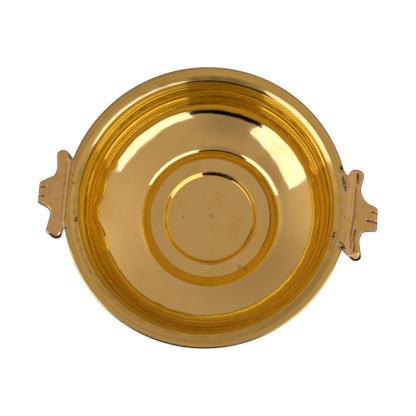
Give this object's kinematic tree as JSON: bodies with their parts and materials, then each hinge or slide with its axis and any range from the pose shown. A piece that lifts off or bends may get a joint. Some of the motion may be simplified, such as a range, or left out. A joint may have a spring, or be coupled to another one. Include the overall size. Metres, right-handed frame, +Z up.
{
  "type": "urli bowl",
  "caption": "Wide shallow turned brass bowl with a flat rim, ringed floor, foot ring and lobed cast handles brazed to its rim, for floating flowers and lamps.",
  "frame": {"origin": "on the bowl's axis, at the plane that the foot ring stands on", "axes": "+Z up along the bowl's axis, +X towards the right handle"},
  "size_m": [0.2982, 0.25, 0.072],
  "materials": {
    "polished_brass": "turned and buffed to a shine, with faint spinning marks and tarnish spots",
    "satin_brass": "cast, filed and lightly buffed, warmer and duller than the bowl",
    "braze": "grey brazing metal, filed back, with dark flux in its corners"
  },
  "bodies": {
    "root": {"bowl": "polished_brass", "handle_left": "satin_brass", "handle_right": "satin_brass", "braze_fillet_left": "braze", "braze_fillet_right": "braze", "braze_tack_left": "braze", "braze_tacks_right": "braze"}
  },
  "joints": []
}
